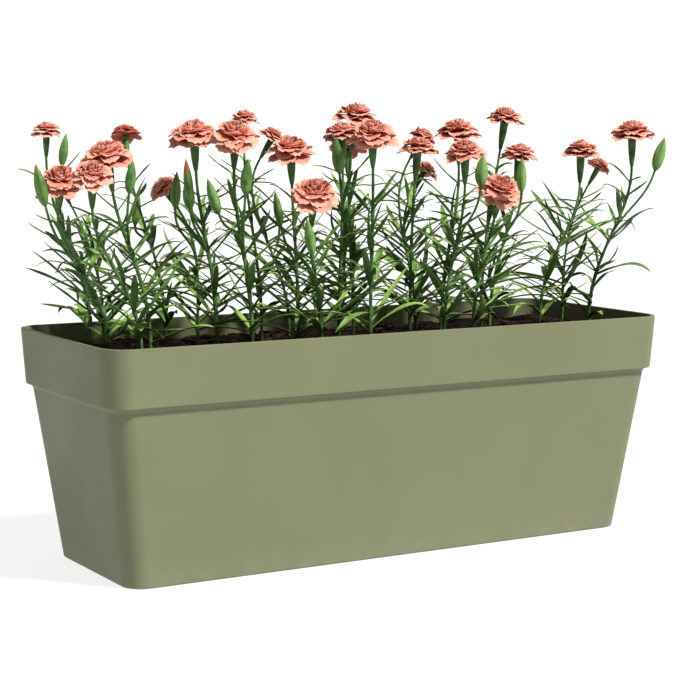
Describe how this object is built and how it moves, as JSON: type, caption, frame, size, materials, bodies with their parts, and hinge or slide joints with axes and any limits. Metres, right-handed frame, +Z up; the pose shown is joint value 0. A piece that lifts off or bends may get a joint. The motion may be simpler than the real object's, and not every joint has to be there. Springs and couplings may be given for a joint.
{
  "type": "planted window box",
  "caption": "Rectangular tapered window box with a deep collar, filled with soil and planted with flowering carnations on leafy stems.",
  "frame": {"origin": "middle of the planter's flat underside", "axes": "+X along the planter's length, -Y out of its front long side, +Z up"},
  "size_m": [0.6823, 0.2577, 0.4269],
  "materials": {
    "planter_plastic": "satin sage green moulded plastic",
    "potting_soil": "dark crumbly potting soil with bark",
    "foliage": "waxy green stems, leaves, calyxes and buds",
    "petals": "soft coral petals"
  },
  "bodies": {
    "root": {"planter": "planter_plastic", "soil": "potting_soil", "stem_01": "foliage", "stem_02": "foliage", "stem_03": "foliage", "stem_04": "foliage", "stem_05": "foliage", "stem_06": "foliage", "stem_07": "foliage", "stem_08": "foliage", "stem_09": "foliage", "stem_10": "foliage", "stem_11": "foliage", "stem_12": "foliage", "stem_13": "foliage", "stem_14": "foliage", "stem_15": "foliage", "stem_16": "foliage", "stem_17": "foliage", "stem_18": "foliage", "stem_19": "foliage", "stem_20": "foliage", "stem_21": "foliage", "stem_22": "foliage", "stem_23": "foliage", "stem_24": "foliage", "stem_25": "foliage", "stem_26": "foliage", "stem_27": "foliage", "stem_28": "foliage", "bloom_01": "petals", "bloom_02": "petals", "bloom_03": "petals", "bloom_04": "petals", "bloom_05": "petals", "bloom_06": "petals", "bloom_07": "petals", "bloom_08": "petals", "bloom_09": "petals", "bloom_10": "petals", "bloom_11": "petals", "bloom_12": "petals", "bloom_13": "petals", "bloom_14": "petals", "bloom_15": "petals", "bloom_16": "petals", "bloom_17": "petals", "bloom_18": "petals", "bloom_19": "petals", "bloom_20": "petals", "bloom_21": "petals", "bloom_22": "petals", "bloom_23": "petals", "bloom_24": "petals", "bloom_25": "petals", "bloom_26": "petals", "bloom_27": "petals", "bloom_28": "petals"}
  },
  "joints": []
}
